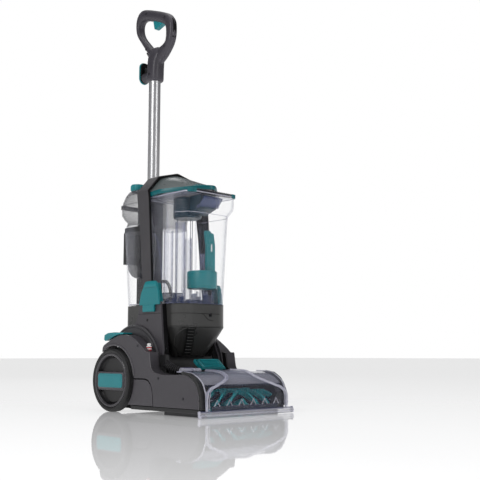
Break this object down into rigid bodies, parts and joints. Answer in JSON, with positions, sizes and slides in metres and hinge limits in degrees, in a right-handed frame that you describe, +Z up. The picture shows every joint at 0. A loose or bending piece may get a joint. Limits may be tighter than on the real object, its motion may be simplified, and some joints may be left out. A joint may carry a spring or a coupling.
{
  "type": "carpet cleaner machine",
  "caption": "Upright carpet washer with a clear brush nozzle, reclining body, lift-off recovery and clean-water tanks, aluminium pole and D-shaped handle.",
  "frame": {"origin": "on the floor, at the middle of the part's bounding box, with the machine standing upright", "axes": "+Z up; -Y towards the front, where the clear nozzle is; +X to the right for someone facing the machine's front"},
  "size_m": [0.3, 0.444, 1.1],
  "materials": {
    "dark_shell": "fine textured charcoal",
    "black_plastic": "fine textured near-black",
    "steel": "satin",
    "motor_can": "dull zinc",
    "pump_plastic": "smooth",
    "belt_rubber": "matt",
    "white_plastic": "smooth",
    "clear_plastic": "clear, faintly smoky",
    "clear_blue_plastic": "clear, faintly blue",
    "dark_blue_plastic": "smooth blue-black",
    "teal_bristle": "nylon tufts",
    "teal_plastic": "satin teal",
    "dark_teal_plastic": "smooth dark teal",
    "grey_lid": "satin slate grey",
    "tyre": "matt ribbed",
    "pole_aluminium": "brushed"
  },
  "bodies": {
    "base": {"base_pan": "black_plastic", "left_side_cover": "dark_shell", "right_side_cover": "dark_shell", "left_wheel_skirt": "dark_shell", "right_wheel_skirt": "dark_shell", "left_pivot_shroud": "black_plastic", "right_pivot_shroud": "black_plastic", "axles_and_pins": "steel", "floor_skids": "black_plastic", "brush_motor": "motor_can", "drive_belt": "belt_rubber", "spray_coupling": "white_plastic", "coupling_seat": "black_plastic", "suction_hose": "belt_rubber", "cover_screws": "steel"},
    "nozzle": {"nozzle_cover": "clear_plastic", "suction_channel": "clear_plastic", "nozzle_lip": "clear_plastic", "toothed_strip": "dark_blue_plastic"},
    "latch": {"nozzle_latch": "teal_plastic"},
    "left_wheel": {"left_wheel_hub": "black_plastic", "left_tyre": "tyre", "left_hub_plate": "teal_plastic"},
    "right_wheel": {"right_wheel_hub": "black_plastic", "right_tyre": "tyre", "right_hub_plate": "teal_plastic"},
    "front_brush": {"front_brush_core": "dark_blue_plastic", "front_brush_tufts": "teal_bristle"},
    "rear_brush": {"rear_brush_core": "dark_blue_plastic", "rear_brush_tufts": "teal_bristle"},
    "brush_drive": {"motor_pulley": "steel"},
    "pedal": {"recline_pedal": "teal_plastic"},
    "upper_body": {"motor_housing": "black_plastic", "front_louvre_panel": "black_plastic", "tank_cradle": "black_plastic", "left_arm": "dark_shell", "right_arm": "dark_shell", "spine": "black_plastic", "suction_motor": "motor_can", "water_pump": "pump_plastic", "pole": "pole_aluminium", "left_handle_shell": "dark_shell", "right_handle_shell": "dark_shell", "handle_screws": "steel", "cord_gland": "black_plastic"},
    "fan": {"impeller": "motor_can"},
    "hand_trigger": {"trigger": "teal_plastic"},
    "hook": {"cord_hook": "black_plastic"},
    "dirty_tank": {"recovery_tank": "clear_plastic", "tank_tubes": "clear_blue_plastic"},
    "float_body": {"float": "teal_plastic"},
    "lid": {"lid_base": "clear_plastic", "lid_rim": "teal_plastic", "lid_shell": "grey_lid", "lid_baffle": "dark_teal_plastic", "carry_strap": "dark_shell"},
    "left_strap_catch": {"left_strap_latch": "teal_plastic"},
    "right_strap_catch": {"right_strap_latch": "teal_plastic"},
    "clean_water": {"clean_tank": "clear_plastic"},
    "cap": {"filler_cap": "teal_plastic"}
  },
  "joints": [
    {"name": "left_wheel_roll", "type": "hinge", "parent": "base", "child": "left_wheel", "pos_m": [-0.138, 0.118, 0.077], "axis": [1, 0, 0], "continuous": true},
    {"name": "right_wheel_roll", "type": "hinge", "parent": "base", "child": "right_wheel", "pos_m": [0.138, 0.118, 0.077], "axis": [1, 0, 0], "continuous": true},
    {"name": "rear_brush_turn", "type": "hinge", "parent": "base", "child": "rear_brush", "pos_m": [0, -0.112, 0.031], "axis": [1, 0, 0], "continuous": true},
    {"name": "front_brush_turn", "type": "hinge", "parent": "base", "child": "front_brush", "pos_m": [0, -0.172, 0.031], "axis": [1, 0, 0], "continuous": true},
    {"name": "brush_drive_turn", "type": "hinge", "parent": "base", "child": "brush_drive", "pos_m": [0.115, -0.055, 0.04], "axis": [1, 0, 0], "continuous": true},
    {"name": "pedal_press", "type": "hinge", "parent": "base", "child": "pedal", "pos_m": [-0.125, 0.104, 0.16], "axis": [-1, 0, 0], "range_deg": [0, 8], "stiffness_Nm_per_rad": 1.5, "springref_deg": -8.59},
    {"name": "recline", "type": "hinge", "parent": "base", "child": "upper_body", "pos_m": [0, 0.084, 0.11], "axis": [-1, 0, 0], "range_deg": [0, 60]},
    {"name": "nozzle_lift", "type": "slide", "parent": "base", "child": "nozzle", "axis": [0, 0, 1], "range_m": [0, 0.04]},
    {"name": "latch_press", "type": "hinge", "parent": "nozzle", "child": "latch", "pos_m": [0, -0.086, 0.112], "axis": [-1, 0, 0], "range_deg": [0, 12], "stiffness_Nm_per_rad": 0.6, "springref_deg": -8.59},
    {"name": "fan_spin", "type": "hinge", "parent": "upper_body", "child": "fan", "pos_m": [0.015, 0.084, 0.11], "axis": [1, 0, 0], "continuous": true},
    {"name": "trigger_squeeze", "type": "hinge", "parent": "upper_body", "child": "hand_trigger", "pos_m": [0, 0.101, 1.043], "axis": [1, 0, 0], "range_deg": [0, 7], "stiffness_Nm_per_rad": 0.8, "springref_deg": -8.59},
    {"name": "hook_turn", "type": "hinge", "parent": "upper_body", "child": "hook", "pos_m": [0, 0.19, 0.899], "axis": [0, 1, 0], "range_deg": [0, 180]},
    {"name": "tank_lift", "type": "slide", "parent": "upper_body", "child": "dirty_tank", "axis": [0, 0, 1], "range_m": [0, 0.18]},
    {"name": "float_rise", "type": "slide", "parent": "dirty_tank", "child": "float_body", "axis": [0, 0, 1], "range_m": [0, 0.028]},
    {"name": "lid_lift", "type": "slide", "parent": "dirty_tank", "child": "lid", "axis": [0, 0, 1], "range_m": [0, 0.1]},
    {"name": "left_latch_release", "type": "hinge", "parent": "lid", "child": "left_strap_catch", "pos_m": [-0.10325, 0.017, 0.3153], "axis": [0, 1, 0], "range_deg": [0, 8], "stiffness_Nm_per_rad": 0.6, "springref_deg": -5.73},
    {"name": "right_latch_release", "type": "hinge", "parent": "lid", "child": "right_strap_catch", "pos_m": [0.10325, 0.017, 0.3153], "axis": [0, -1, 0], "range_deg": [0, 8], "stiffness_Nm_per_rad": 0.6, "springref_deg": -5.73},
    {"name": "clean_tank_lift", "type": "slide", "parent": "upper_body", "child": "clean_water", "axis": [0, 0, 1], "range_m": [0, 0.2]},
    {"name": "cap_turn", "type": "hinge", "parent": "clean_water", "child": "cap", "pos_m": [-0.06, 0.135, 0.573], "axis": [0, 0, 1], "range_deg": [0, 120]}
  ],
  "couplings": [
    {"joint": "front_brush_turn", "follows": "rear_brush_turn", "ratio": 1},
    {"joint": "brush_drive_turn", "follows": "rear_brush_turn", "ratio": 1.5}
  ]
}
